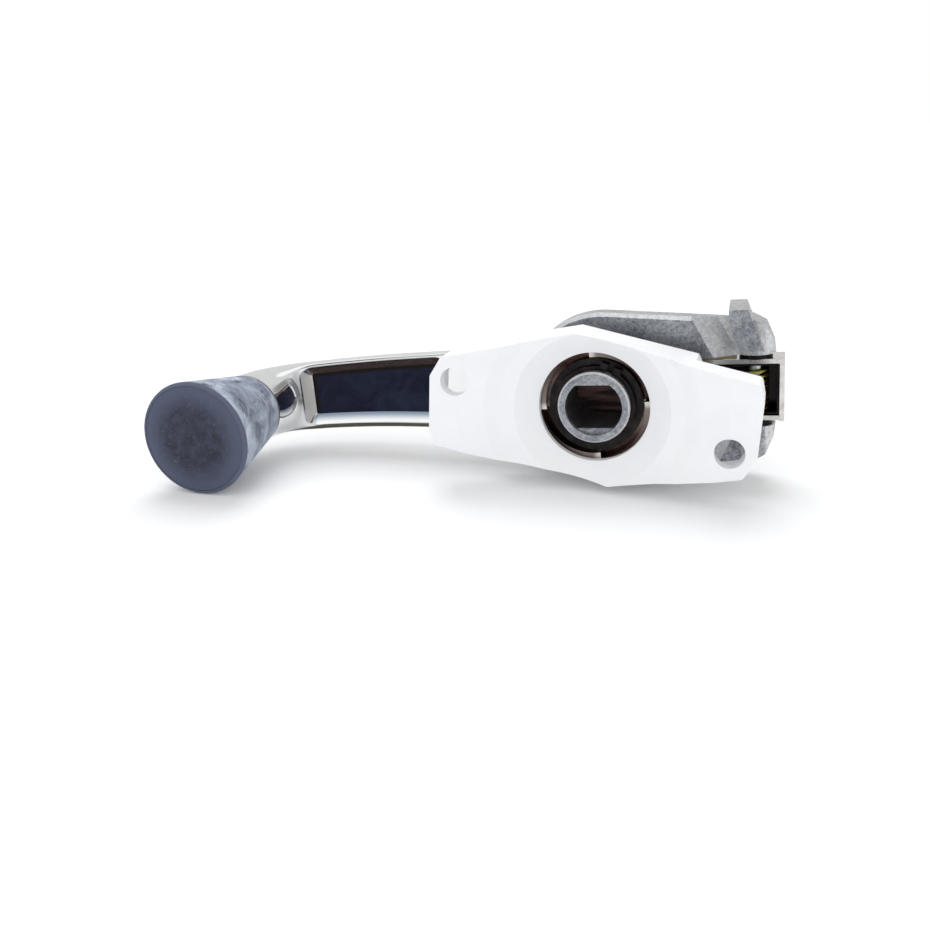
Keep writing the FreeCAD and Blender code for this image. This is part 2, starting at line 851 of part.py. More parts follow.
def knob_body():
    x = knob_x
    y_rim = knob_front + knob_rim_round
    root = math.sqrt(1 / 2)
    corner = V(x + knob_small_radius - knob_back_round, knob_back - knob_back_round, 0)
    back_mid = corner + V(root, root, 0) * knob_back_round
    rim = V(x + knob_rim_radius - knob_rim_round, y_rim, 0)
    rim_mid = rim + V(root, -root, 0) * knob_rim_round
    a = V(x, knob_back, 0)
    b = V(x + knob_small_radius - knob_back_round, knob_back, 0)
    c = V(x + knob_small_radius, knob_back - knob_back_round, 0)
    d = V(x + knob_rim_radius, y_rim, 0)
    e = V(x + knob_rim_radius - knob_rim_round, knob_front, 0)
    f = V(x, knob_front, 0)
    edges = [line(a, b), arc(b, back_mid, c), arc(c, knob_profile(), d), arc(d, rim_mid, e),
             line(e, f), line(f, a)]
    grip = Part.Face(Part.Wire(edges)).revolve(V(x, 0, 0), BACK, 360)
    grip = grip.cut(disc(cap_radius, knob_front - overrun, knob_front + cap_seat, x))
    grip = grip.cut(disc(knob_well_radius, knob_front - overrun, bush_end, x))
    return grip.cut(disc(knob_bush_radius, bush_end - overrun, knob_back + overrun, x))


def knob_cap():
    """A low domed disc seated in the grip's wide end."""
    x = knob_x
    face = knob_front - cap_dome
    back = knob_front + cap_seat
    rim = V(x + cap_radius, knob_front, 0)
    middle_r = cap_radius / 2
    dome_r = (cap_radius ** 2 + cap_dome ** 2) / (2 * cap_dome)
    middle = V(x + middle_r, face + dome_r - math.sqrt(dome_r ** 2 - middle_r ** 2), 0)
    top = V(x, face, 0)
    foot = V(x, back, 0)
    heel = V(x + cap_radius, back, 0)
    edges = [arc(top, middle, rim), line(rim, heel), line(heel, foot), line(foot, top)]
    return Part.Face(Part.Wire(edges)).revolve(V(x, 0, 0), BACK, 360)


def knob_bush():
    return tube(knob_bush_radius, axle_radius + axle_fit, bush_end,
                knob_back - knob_bush_inset, knob_x)


def knob_axle():
    shank = disc(axle_radius, axle_head_back, elbow_end + axle_in_arm, knob_x)
    head = disc(axle_head_radius, axle_head_back - axle_head, axle_head_back, knob_x)
    return shank.fuse(head).removeSplitter()


def axle_washer():
    return tube(axle_washer_radius, axle_radius, axle_head_back, bush_end - axle_fit, knob_x)


def knob_washer():
    return tube(knob_washer_radius, axle_radius, knob_back + knob_washer_play, elbow_end, knob_x)


PIECES = [
    mounting_plate, ratchet_ring,
    hub_body, hub_circlip, click_washer, bearing_bush, thrust_washer,
    hinge_pin, hinge_washers, friction_leaf, torsion_spring,
    crank_arm, pocket_inlay, hinge_bracket, detent_spring, bracket_rivets,
    knob_axle, axle_washer, knob_washer,
    knob_body, knob_cap, knob_bush,
]

for make in PIECES:
    shape = make()
    shape.exportStep("parts/" + make.__name__ + ".step")
    print(make.__name__, "valid" if shape.isValid() else "INVALID", len(shape.Solids),
          round(shape.Volume, 1))

print("least gap between the spring's turns", round(spring_gap(), 2), "mm")
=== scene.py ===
# %% [markdown]
# A folding crank for a sliding roof, lying on its side. Its pieces come from the imported CAD model,
# one object each, already in place. This lesson gives them their finishes, swaps the most visible
# ones for finer surfaces, and sets them on white paper under lights and before a camera.

import json
import math
import bpy
import numpy as np
from mathutils import Matrix, Vector


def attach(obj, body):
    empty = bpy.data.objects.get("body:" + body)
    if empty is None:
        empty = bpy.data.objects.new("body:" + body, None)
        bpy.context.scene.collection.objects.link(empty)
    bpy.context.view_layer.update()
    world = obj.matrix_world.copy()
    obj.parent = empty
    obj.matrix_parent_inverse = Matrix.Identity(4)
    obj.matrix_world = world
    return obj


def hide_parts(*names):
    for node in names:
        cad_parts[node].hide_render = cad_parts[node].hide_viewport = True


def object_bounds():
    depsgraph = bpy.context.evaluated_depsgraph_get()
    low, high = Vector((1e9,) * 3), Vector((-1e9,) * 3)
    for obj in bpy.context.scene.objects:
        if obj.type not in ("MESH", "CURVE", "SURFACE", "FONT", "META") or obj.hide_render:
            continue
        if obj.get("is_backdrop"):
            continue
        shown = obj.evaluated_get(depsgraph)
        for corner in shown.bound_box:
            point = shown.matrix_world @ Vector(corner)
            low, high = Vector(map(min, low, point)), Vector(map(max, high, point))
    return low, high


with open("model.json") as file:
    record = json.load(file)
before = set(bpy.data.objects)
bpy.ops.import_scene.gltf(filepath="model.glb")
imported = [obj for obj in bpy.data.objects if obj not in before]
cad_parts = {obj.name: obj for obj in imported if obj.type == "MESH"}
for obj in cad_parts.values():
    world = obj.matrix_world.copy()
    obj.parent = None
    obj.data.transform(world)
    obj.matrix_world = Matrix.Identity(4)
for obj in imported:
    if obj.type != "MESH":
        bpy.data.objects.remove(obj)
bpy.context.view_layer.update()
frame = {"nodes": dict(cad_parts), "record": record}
nodes = frame["nodes"]
print("pieces from the CAD model:", len(nodes))

# %% [markdown]
# Two measures of the part come back in several cells: where the knob's axis stands, in
# millimetres, and how much each side of the bar closes in for a millimetre of its length.

# %% Shared measures

mm = 0.001
knob_x, bar_taper = -73.4, 0.0291
print("the knob's axis stands at x =", knob_x, "mm")

# %% [markdown]
# A finish is a tree of nodes. Most trees here need the same few steps, so small helpers add a
# node, fill in its sockets and wire it up. Written by hand in the editor it would be the same
# tree; the helpers keep every later cell short enough to read.

# %% Helpers for node trees


def fill(tree, place, value):
    """A socket filled with a value, or wired when the value is a socket itself."""
    if isinstance(value, bpy.types.NodeSocket):
        tree.links.new(value, place)
    else:
        place.default_value = value


def add(tree, kind, label="", **values):
    """One node, with each value in the socket of that name."""
    node = tree.nodes.new(kind)
    node.label = label
    for key, value in values.items():
        fill(tree, node.inputs[key.replace("_", " ")], value)
    return node


def work_out(tree, label, operation, *values, kind="ShaderNodeMath"):
    """A sum on numbers, or on vectors with ShaderNodeVectorMath: returns the node."""
    node = add(tree, kind, label)
    node.operation = operation
    for place, value in zip(node.inputs, values):
        fill(tree, place, value)
    return node


def reach_along(tree, label, vector, direction):
    """How far a vector reaches along a direction."""
    return work_out(tree, label, "DOT_PRODUCT", vector, direction,
                    kind="ShaderNodeVectorMath").outputs["Value"]


def new_group(name, inputs, outputs):
    """An empty node group with its named inputs and outputs."""
    tree = bpy.data.node_groups.new(name, "ShaderNodeTree")
    for label, kind, default in inputs:
        socket = tree.interface.new_socket(label, in_out="INPUT", socket_type=kind)
        if default is not None:
            socket.default_value = default
    for label, kind in outputs:
        tree.interface.new_socket(label, in_out="OUTPUT", socket_type=kind)
    return tree, tree.nodes.new("NodeGroupInput"), tree.nodes.new("NodeGroupOutput")


def use(tree, group, **values):
    """A group placed in a tree, with its sockets filled or wired."""
    node = tree.nodes.new("ShaderNodeGroup")
    node.node_tree = group
    node.label = group.name
    for key, value in values.items():
        fill(tree, node.inputs[key.replace("_", " ")], value)
    return node


print("helpers for node trees are ready")

# %% [markdown]
# Two effects come back in most finishes. "cloudy" is soft mottling: two layers of noise, pushed
# apart to give patches with a clear edge. "specks" is fine dust or pits: noise so small that only
# its peaks are kept. Both are groups, so each finish places them with its own size and strength.

# %% Groups: clouds and specks

FLOAT = "NodeSocketFloat"
VECTOR = "NodeSocketVector"

cloudy, cloudy_in, cloudy_out = new_group(
    "cloudy",
    [("Vector", VECTOR, None), ("Scale", FLOAT, 300.0), ("Low", FLOAT, 0.4), ("High", FLOAT, 0.6)],
    [("Mask", FLOAT)])
broad = add(cloudy, "ShaderNodeTexNoise", "patches", Vector=cloudy_in.outputs["Vector"],
            Scale=cloudy_in.outputs["Scale"], Detail=6.0, Roughness=0.62, Distortion=0.6)
spread = add(cloudy, "ShaderNodeMapRange", "push apart", Value=broad.outputs["Fac"],
             From_Min=cloudy_in.outputs["Low"], From_Max=cloudy_in.outputs["High"])
cloudy.links.new(spread.outputs["Result"], cloudy_out.inputs["Mask"])

specks, specks_in, specks_out = new_group(
    "specks",
    [("Vector", VECTOR, None), ("Scale", FLOAT, 2500.0), ("Amount", FLOAT, 0.35)],
    [("Mask", FLOAT)])
fine = add(specks, "ShaderNodeTexNoise", "grains", Vector=specks_in.outputs["Vector"],
           Scale=specks_in.outputs["Scale"], Detail=3.0, Roughness=0.7)
rarest, softness = 0.78, 0.12
level = work_out(specks, "threshold", "SUBTRACT", rarest, specks_in.outputs["Amount"])
top = work_out(specks, "soft top", "ADD", level.outputs[0], softness)
peaks = add(specks, "ShaderNodeMapRange", "keep the peaks", Value=fine.outputs["Fac"],
            From_Min=level.outputs[0], From_Max=top.outputs[0])
specks.links.new(peaks.outputs["Result"], specks_out.inputs["Mask"])
print("groups:", cloudy.name, specks.name)

# %% [markdown]
# Every finish starts the same way: an empty material with a Principled shader and the piece's own
# Object coordinates, which stay put when the piece turns on its joint.

# %% A blank finish


def blank(name, metal=0.0, rough=0.5, specular=0.5):
    """A new material: returns it with its tree, its shader and the Object coordinates."""
    material = bpy.data.materials.new(name)
    material.use_nodes = True
    tree = material.node_tree
    shader = tree.nodes["Principled BSDF"]
    shader.inputs["Metallic"].default_value = metal
    shader.inputs["Roughness"].default_value = rough
    shader.inputs["Specular IOR Level"].default_value = specular
    place = tree.nodes.new("ShaderNodeTexCoord").outputs["Object"]
    return material, tree, shader, place


def blend_colour(tree, mask, low, high):
    """A colour between two, by a mask."""
    mix = tree.nodes.new("ShaderNodeMix")
    mix.data_type = "RGBA"
    tree.links.new(mask, mix.inputs["Factor"])
    for value, place in ((low, mix.inputs["A"]), (high, mix.inputs["B"])):
        fill(tree, place, value if isinstance(value, bpy.types.NodeSocket) else (*value, 1.0))
    return mix.outputs["Result"]


def blend_value(tree, mask, low, high):
    """A number between two, by a mask."""
    node = add(tree, "ShaderNodeMapRange", "blend", Value=mask, To_Min=low, To_Max=high)
    return node.outputs["Result"]


def bump(tree, shader, height, depth, strength=1.0, under=None):
    """A relief of the given depth in metres, over another relief if one is given."""
    node = add(tree, "ShaderNodeBump", "relief", Height=height, Distance=depth, Strength=strength)
    if under is not None:
        tree.links.new(under, node.inputs["Normal"])
    tree.links.new(node.outputs["Normal"], shader.inputs["Normal"])
    return node.outputs["Normal"]


def ramp(tree, value, start, end):
    """0 where the value is at start, 1 where it is at end, with a soft way between."""
    node = add(tree, "ShaderNodeMapRange", "soft step", Value=value, From_Min=start, From_Max=end)
    node.interpolation_type = "SMOOTHSTEP"
    return node.outputs["Result"]


def both(tree, first, second):
    """A mask where two masks meet."""
    return work_out(tree, "both", "MULTIPLY", first, second).outputs[0]


def either(tree, first, second):
    """A mask where at least one of two masks is."""
    return work_out(tree, "either", "MAXIMUM", first, second).outputs[0]


def axes_of(tree, vector):
    """The X, Y and Z of a vector."""
    return add(tree, "ShaderNodeSeparateXYZ", "axes", Vector=vector).outputs


def turned_to(tree):
    """The X, Y and Z of the way a face points, in the piece's own space."""
    return axes_of(tree, tree.nodes.new("ShaderNodeTexCoord").outputs["Normal"])


def radius_about(tree, place, axis_x):
    """The distance from an axis along Y that stands at a given X."""
    moved = add(tree, "ShaderNodeMapping", "centred", Vector=place, Location=(-axis_x, 0.0, 0.0),
                Scale=(1.0, 0.0, 1.0))
    return work_out(tree, "radius", "LENGTH", moved.outputs["Vector"],
                    kind="ShaderNodeVectorMath").outputs["Value"]


finishes = {}
print("a blank finish and its masks are ready")

# %% [markdown]
# The plate is moulded nylon: white with a breath of blue, satin, a little translucent. Real
# nylon scatters light inside; at this size a pale, slightly uneven colour with a soft sheen
# looks the same and exports cleanly. A few grey specks and the fine texture of the mould keep
# it from looking like paint.

# %% Finish: white nylon

material, tree, shader, place = blank("white_nylon", rough=0.45, specular=0.35)
flow = use(tree, cloudy, Vector=place, Scale=90.0, Low=0.3, High=0.7).outputs["Mask"]
colour = blend_colour(tree, flow, (0.885, 0.90, 0.925), (0.92, 0.93, 0.945))
grime = use(tree, specks, Vector=place, Scale=1400.0, Amount=0.02).outputs["Mask"]
colour = blend_colour(tree, grime, colour, (0.66, 0.66, 0.66))
tree.links.new(colour, shader.inputs["Base Color"])
tree.links.new(blend_value(tree, flow, 0.38, 0.5), shader.inputs["Roughness"])
orange_peel = add(tree, "ShaderNodeTexNoise", "mould texture", Vector=place, Scale=2600.0,
                  Detail=2.0)
bump(tree, shader, orange_peel.outputs["Fac"], 0.00002, 0.35)
finishes["white_nylon"] = material
print("finish:", material.name)

# %% [markdown]
# The hub is raw die-cast zinc, with darker flow marks and small pits. Three noises give the
# mottling: wide clouds, fine clouds and pits. Which way a face points, in the piece's own space,
# decides between a dark grey for the flat front and a lighter grey for the flanks, so the
# difference stays on the piece however it turns. The die face is duller, and on top of that the
# front carries painted shade and the flanks painted light. The lower side is painted dark, as
# shade, on its slanting faces too. The bevels carry a painted highlight over their edge wear.
# Inside the drive socket the casting is painted darkest, as shade.

# %% Finish: cast zinc

material, tree, shader, place = blank("cast_zinc", metal=0.9, rough=0.45)
wide = use(tree, cloudy, Vector=place, Scale=150.0, Low=0.36, High=0.64).outputs["Mask"]
small = use(tree, cloudy, Vector=place, Scale=1700.0, Low=0.36, High=0.66).outputs["Mask"]
pits = use(tree, specks, Vector=place, Scale=2600.0, Amount=0.17).outputs["Mask"]
facing = turned_to(tree)["Y"]
axes = axes_of(tree, place)
above_pan = ramp(tree, axes["Y"], 0.0166, 0.0162)
# the low side is painted dark, as shade
shaded_low_side = ramp(tree, axes["Z"], -0.001, -0.002)
# dark front: partly a duller die face, partly painted shade; the flanks get painted light
dull_front_and_shade = either(tree, both(tree, ramp(tree, facing, -0.90, -0.985), above_pan),
                    both(tree, ramp(tree, facing, -0.50, -0.70), shaded_low_side))
# painted highlight on the bevels, over edge wear
edge_wear_and_highlight = both(tree, ramp(tree, facing, -0.92, -0.82), ramp(tree, facing, -0.35, -0.55))
# painted shade inside the drive socket
painted_socket_shade = both(tree, ramp(tree, radius_about(tree, place, 0.0), 0.00575, 0.00555),
                 ramp(tree, axes["Y"], 0.0069, 0.0074))
front = blend_colour(tree, wide, (0.17, 0.185, 0.22), (0.40, 0.42, 0.455))
flank = blend_colour(tree, wide, (0.52, 0.53, 0.535), (0.72, 0.73, 0.735))
# painted shade on the front, painted light on the flanks
colour = blend_colour(tree, dull_front_and_shade, flank, front)
# the bevels painted bright: a painted highlight over edge wear
colour = blend_colour(tree, edge_wear_and_highlight, colour, (0.80, 0.805, 0.81))
light_marks = blend_value(tree, small, 0.0, 0.40)
colour = blend_colour(tree, light_marks, colour, (0.64, 0.655, 0.67))
dark_marks = blend_value(tree, small, 0.35, 0.0)
colour = blend_colour(tree, dark_marks, colour, (0.09, 0.095, 0.11))
colour = blend_colour(tree, pits, colour, (0.07, 0.07, 0.08))
# the socket walls painted dark, as shade
colour = blend_colour(tree, blend_value(tree, painted_socket_shade, 0.0, 0.75), colour, (0.10, 0.105, 0.12))
tree.links.new(colour, shader.inputs["Base Color"])
tree.links.new(blend_value(tree, edge_wear_and_highlight, 0.9, 0.55), shader.inputs["Metallic"])
tree.links.new(blend_value(tree, small, 0.52, 0.34), shader.inputs["Roughness"])
first = bump(tree, shader, small, 0.00006, 0.5)
bump(tree, shader, pits, -0.00006, 0.5, under=first)
finishes["cast_zinc"] = material
print("finish:", material.name)

# %% [markdown]
# Chrome is almost a mirror. What keeps it from looking like a computer's mirror is a faint
# haze from handling, so the roughness wanders a little. The floor inside the arm's cover was
# never polished: there the casting is dull, and brown with old grease round the hub's axis, which
# is what one sees at the bottom of the drive socket.

# %% Finish: chrome

material, tree, shader, place = blank("chrome", metal=1.0, rough=0.07)
haze = use(tree, cloudy, Vector=place, Scale=120.0, Low=0.35, High=0.7).outputs["Mask"]
colour = blend_colour(tree, haze, (0.76, 0.77, 0.775), (0.82, 0.825, 0.83))
axes = axes_of(tree, place)
turned = turned_to(tree)
inside = both(tree, ramp(tree, turned["Y"], -0.8, -0.95), ramp(tree, axes["Y"], 0.0240, 0.0243))
inside = both(tree, inside, ramp(tree, axes["X"], -0.0165, -0.0145))
stretched = add(tree, "ShaderNodeMapping", "long in X", Vector=place, Scale=(0.1, 1.0, 1.0))
stripes = add(tree, "ShaderNodeTexNoise", "casting lines", Vector=stretched.outputs["Vector"],
              Scale=900.0, Detail=2.0).outputs["Fac"]
greasy = blend_colour(tree, ramp(tree, stripes, 0.40, 0.62), (0.070, 0.046, 0.044),
                      (0.34, 0.20, 0.18))
raw = blend_colour(tree, haze, (0.12, 0.105, 0.10), (0.20, 0.18, 0.17))
raw = blend_colour(tree, ramp(tree, radius_about(tree, place, 0.0), 0.0085, 0.0060), raw, greasy)
colour = blend_colour(tree, inside, colour, raw)
print("the cover's inside is dull and greasy")

# %% [markdown]
# Reflections, shade and light are painted onto the chrome of the long recess and the bar's lower
# rim: a brown painted reflection under the upper lip, blue-grey painted shade at the foot of the
# lower wall, an olive painted reflection of the shade under the bar on the rim, and painted light,
# a pale cream without metal, on the recess's far wall. The bar narrows towards the knob, so a line
# that keeps its distance from the lower edge is found with the bar's taper. Which way a face points
# tells the walls apart.

# %% Painted reflections, shade and light on the chrome

from_low_edge = reach_along(tree, "depth less the bar's taper", place, (-bar_taper, 0.0, -1.0))
on_bar = both(tree, ramp(tree, axes["X"], -0.0185, -0.0195),
              ramp(tree, axes["X"], -0.0700, -0.0660))
frontward = both(tree, on_bar, ramp(tree, turned["Y"], -0.15, -0.35))
in_recess = both(tree, frontward, ramp(tree, axes["X"], -0.0655, -0.0645))
# painted reflection and shade on the upper wall, under the lip
upper_wall_reflection = both(tree, both(tree, in_recess, ramp(tree, turned["Z"], -0.60, -0.68)),
                  ramp(tree, axes["Z"], 0.0, 0.001))
# painted shade at the foot of the lower wall
lower_wall_shade = both(tree, both(tree, in_recess, ramp(tree, axes["Z"], 0.0, -0.001)),
                  both(tree, ramp(tree, turned["Z"], 0.40, 0.60),
                       ramp(tree, from_low_edge, 0.0078, 0.0062)))
# painted light on the recess's far wall: pale cream, not metal
far_wall_light = both(tree, ramp(tree, turned["X"], 0.78, 0.86), ramp(tree, axes["Y"], 0.0137, 0.0140))
far_wall_light = both(tree, far_wall_light, both(tree, ramp(tree, axes["X"], -0.0654, -0.0650),
                                     ramp(tree, axes["X"], -0.0610, -0.0620)))
# painted reflection of the shade under the bar, on its lower rim
lower_rim_reflection = both(tree, frontward, ramp(tree, from_low_edge, 0.0080, 0.0083))
# colours painted on the recess walls and rim: reflections, shade and light
colour = blend_colour(tree, upper_wall_reflection, colour, (0.25, 0.18, 0.155))
colour = blend_colour(tree, lower_wall_shade, colour, (0.19, 0.24, 0.31))
colour = blend_colour(tree, lower_rim_reflection, colour, (0.115, 0.108, 0.085))
colour = blend_colour(tree, far_wall_light, colour, (0.74, 0.73, 0.70))
tree.links.new(colour, shader.inputs["Base Color"])
# the far wall's painted light and the cover's inside are not metal
dull = either(tree, far_wall_light, inside)
tree.links.new(blend_value(tree, dull, 1.0, 0.25), shader.inputs["Metallic"])
polish = blend_value(tree, haze, 0.04, 0.11)
rough = either(tree, polish, blend_value(tree, inside, 0.0, 0.45))
tree.links.new(rough, shader.inputs["Roughness"])
finishes["chrome"] = material
print("finish:", material.name)

# %% [markdown]
# The strip in the arm's long recess is a dark navy enamel with a wet gloss. Along its upper edge,
# under the lip, and at its far end it is painted nearly black, as shade, and faint clouds float in
# the middle.

# %% Finish: navy enamel

material, tree, shader, place = blank("navy_gloss", rough=0.12, specular=0.06)
haze = use(tree, cloudy, Vector=place, Scale=140.0, Low=0.42, High=0.78).outputs["Mask"]
colour = blend_colour(tree, haze, (0.009, 0.011, 0.026), (0.024, 0.030, 0.060))
axes = axes_of(tree, place)
from_high_edge = reach_along(tree, "height less the bar's taper", place, (-bar_taper, 0.0, 1.0))
# painted shade along the upper edge and at the far end
painted_edge_shade = either(tree, ramp(tree, from_high_edge, 0.0054, 0.0063),
               ramp(tree, axes["X"], -0.0622, -0.0632))
colour = blend_colour(tree, painted_edge_shade, colour, (0.012, 0.007, 0.006))
tree.links.new(colour, shader.inputs["Base Color"])
tree.links.new(blend_value(tree, haze, 0.08, 0.2), shader.inputs["Roughness"])
finishes["navy_gloss"] = material
print("finish:", material.name)

# %% [markdown]
# The small metal pieces share one recipe: a metal colour with light clouds in it, fine grain
# from rolling or turning, and specks of tarnish. A function builds it for each colour. The
# hinge bracket is plated like the others outside, but between its legs it is painted near-black,
# as shade.

# %% Finishes: the small metal pieces


def small_metal(name, dull, bright, rough, tarnish, amount):
    """Rolled or turned metal between a dull and a bright colour, with specks of tarnish."""
    material, tree, shader, place = blank(name, metal=1.0, rough=rough)
    cloud = use(tree, cloudy, Vector=place, Scale=500.0, Low=0.3, High=0.7).outputs["Mask"]
    spots = use(tree, specks, Vector=place, Scale=2200.0, Amount=amount).outputs["Mask"]
    colour = blend_colour(tree, cloud, dull, bright)
    colour = blend_colour(tree, spots, colour, tarnish)
    tree.links.new(colour, shader.inputs["Base Color"])
    tree.links.new(blend_value(tree, cloud, rough + 0.1, rough), shader.inputs["Roughness"])
    grain = add(tree, "ShaderNodeTexNoise", "grain", Vector=place, Scale=4000.0, Detail=2.0)
    bump(tree, shader, grain.outputs["Fac"], 0.00001, 0.4)
    finishes[name] = material
    return material


material = small_metal("plated_steel", (0.50, 0.49, 0.47), (0.74, 0.73, 0.71), 0.16,
                       (0.20, 0.15, 0.11), 0.12)
tree = material.node_tree
shader = tree.nodes["Principled BSDF"]
axes = axes_of(tree, tree.nodes.new("ShaderNodeTexCoord").outputs["Object"])
# painted shade between the bracket's legs
between = both(tree, ramp(tree, axes["Z"], 0.00515, 0.00505),
               ramp(tree, axes["Z"], -0.00515, -0.00505))
between = both(tree, between, ramp(tree, axes["X"], 0.03345, 0.03335))
outside = shader.inputs["Base Color"].links[0].from_socket
# the bracket painted near-black between its legs, as shade
tree.links.new(blend_colour(tree, between, outside, (0.012, 0.011, 0.011)),
               shader.inputs["Base Color"])

small_metal("dark_steel", (0.010, 0.009, 0.009), (0.030, 0.027, 0.026), 0.32,
            (0.05, 0.03, 0.02), 0.10)
small_metal("steel", (0.42, 0.42, 0.43), (0.60, 0.60, 0.61), 0.25, (0.15, 0.12, 0.10), 0.10)
small_metal("yellow_zinc", (0.36, 0.33, 0.05), (0.52, 0.50, 0.10), 0.34, (0.20, 0.16, 0.05), 0.02)
small_metal("bronze", (0.26, 0.19, 0.11), (0.42, 0.33, 0.21), 0.35, (0.10, 0.07, 0.05), 0.18)
small_metal("brass", (0.45, 0.32, 0.12), (0.66, 0.50, 0.22), 0.28, (0.16, 0.10, 0.05), 0.12)
print("finishes so far:", sorted(finishes))

# %% [markdown]
# The ratchet ring is browned steel. Over the last part of each quarter turn a painted sheen fades
# the brown to steel, with a painted glint at each ramp's tip. The share of a quarter turn comes
# from the angle about the hub axis.

# %% Finish: browned steel

tooth_phase, quarter_turn = math.radians(4.0), math.pi / 2
material, tree, shader, place = blank("browned_steel", metal=1.0, rough=0.2)
axes = axes_of(tree, place)
angle = work_out(tree, "angle about the hub axis", "ARCTAN2", axes["Z"], axes["X"])
from_step = work_out(tree, "from the first step", "SUBTRACT", angle.outputs[0],
                     tooth_phase - 2 * math.pi)
within = work_out(tree, "within a quarter", "MODULO", from_step.outputs[0], quarter_turn).outputs[0]
# painted sheen over the last part of each ramp
painted_sheen = ramp(tree, within, 0.35 * quarter_turn, quarter_turn)
# painted glint at each ramp's tip
bright = ramp(tree, within, 0.90 * quarter_turn, 0.98 * quarter_turn)
patchy = use(tree, cloudy, Vector=place, Scale=420.0, Low=0.3, High=0.7).outputs["Mask"]
colour = blend_colour(tree, patchy, (0.022, 0.012, 0.010), (0.060, 0.034, 0.028))
colour = blend_colour(tree, painted_sheen, colour, (0.20, 0.165, 0.15))
colour = blend_colour(tree, bright, colour, (0.55, 0.53, 0.49))
tree.links.new(colour, shader.inputs["Base Color"])
tree.links.new(blend_value(tree, patchy, 0.3, 0.16), shader.inputs["Roughness"])
finishes["browned_steel"] = material
print("finish:", material.name)

# %% [markdown]
# The thrust washer is black plastic, and the knob is slate-blue rubber, dusty from handling:
# pale dust lies in clouds over a darker, slightly blue ground, and the dust is rougher. The grip
# is worn dark in patches near its top and darker on its rim; its back face is painted pale, painted
# light on a face in the arm's shade that shows in the chrome elbow. The knob's face is cleaner in
# the middle, where a palm rubs it.

# %% Finishes: black plastic and slate rubber

material, tree, shader, place = blank("black_plastic", rough=0.4, specular=0.4)
cloud = use(tree, cloudy, Vector=place, Scale=400.0, Low=0.3, High=0.7).outputs["Mask"]
tree.links.new(blend_colour(tree, cloud, (0.018, 0.018, 0.02), (0.03, 0.03, 0.034)),
               shader.inputs["Base Color"])
tree.links.new(blend_value(tree, cloud, 0.35, 0.5), shader.inputs["Roughness"])
finishes["black_plastic"] = material


def rubber(name, scale, dark, dusty, pale, grit_share):
    """Dusty rubber: clouds of dust over a dark ground, with pale grit; the colour comes last."""
    material, tree, shader, place = blank(name, rough=0.7, specular=0.25)
    dust = use(tree, cloudy, Vector=place, Scale=scale, Low=0.36, High=0.68).outputs["Mask"]
    grit = use(tree, specks, Vector=place, Scale=1900.0, Amount=0.2).outputs["Mask"]
    colour = blend_colour(tree, dust, dark, dusty)
    colour = blend_colour(tree, blend_value(tree, grit, 0.0, grit_share), colour, pale)
    tree.links.new(blend_value(tree, dust, 0.6, 0.85), shader.inputs["Roughness"])
    first = bump(tree, shader, dust, 0.00003, 0.4)
    bump(tree, shader, grit, 0.00003, 0.4, under=first)
    return material, tree, shader, place, colour


material, tree, shader, place, colour = rubber(
    "slate_rubber", 190.0, (0.15, 0.175, 0.24), (0.58, 0.64, 0.74), (0.66, 0.71, 0.79), 0.35)
axes = axes_of(tree, place)
worn = use(tree, cloudy, Vector=place, Scale=150.0, Low=0.56, High=0.66).outputs["Mask"]
toward_top = ramp(tree, axes["Z"], 0.0005, 0.0050)
colour = blend_colour(tree, both(tree, worn, toward_top), colour, (0.050, 0.058, 0.082))
on_rim = ramp(tree, axes["Y"], -0.0147, -0.0152)
colour = blend_colour(tree, on_rim, colour, (0.105, 0.122, 0.175))
# painted light: the grip's back face painted pale
backward = turned_to(tree)["Y"]
colour = blend_colour(tree, ramp(tree, backward, 0.6, 0.8), colour, (0.66, 0.68, 0.70))
tree.links.new(colour, shader.inputs["Base Color"])
finishes["slate_rubber"] = material

material, tree, shader, place, colour = rubber(
    "slate_face", 420.0, (0.024, 0.027, 0.042), (0.056, 0.062, 0.096), (0.20, 0.22, 0.30), 0.30)
outer = ramp(tree, radius_about(tree, place, knob_x * mm), 0.0050, 0.0100)
colour = blend_colour(tree, blend_value(tree, outer, 0.0, 0.75), colour, (0.098, 0.116, 0.180))
tree.links.new(colour, shader.inputs["Base Color"])
finishes["slate_face"] = material
print("finishes:", len(finishes))

# %% [markdown]
# Each CAD piece came with a plain material named after its slot. Here each is swapped for the
# finish of the same name; the meshes themselves stay as they are. The knob's face shares its slot
# with the grip and has a darker finish.

# %% Dress the CAD pieces

slots = {piece["node"]: piece["material_slot"] for piece in frame["record"]["subparts"]}
slots["knob_cap"] = "slate_face"
for name, piece in nodes.items():
    piece.data.materials.clear()
    piece.data.materials.append(finishes[slots[name]])
print("dressed:", len(slots))

# %% [markdown]
# The CAD model keeps to simple edges. The pieces that catch the eye get a finer surface. Two
# builders make them. The first one skins a grid of points, row by row; the second one spins a
# profile about the knob's axis. Both shade smoothly, with a crease wherever the surface turns
# by more than a set angle.

# %% Builders for fine surfaces


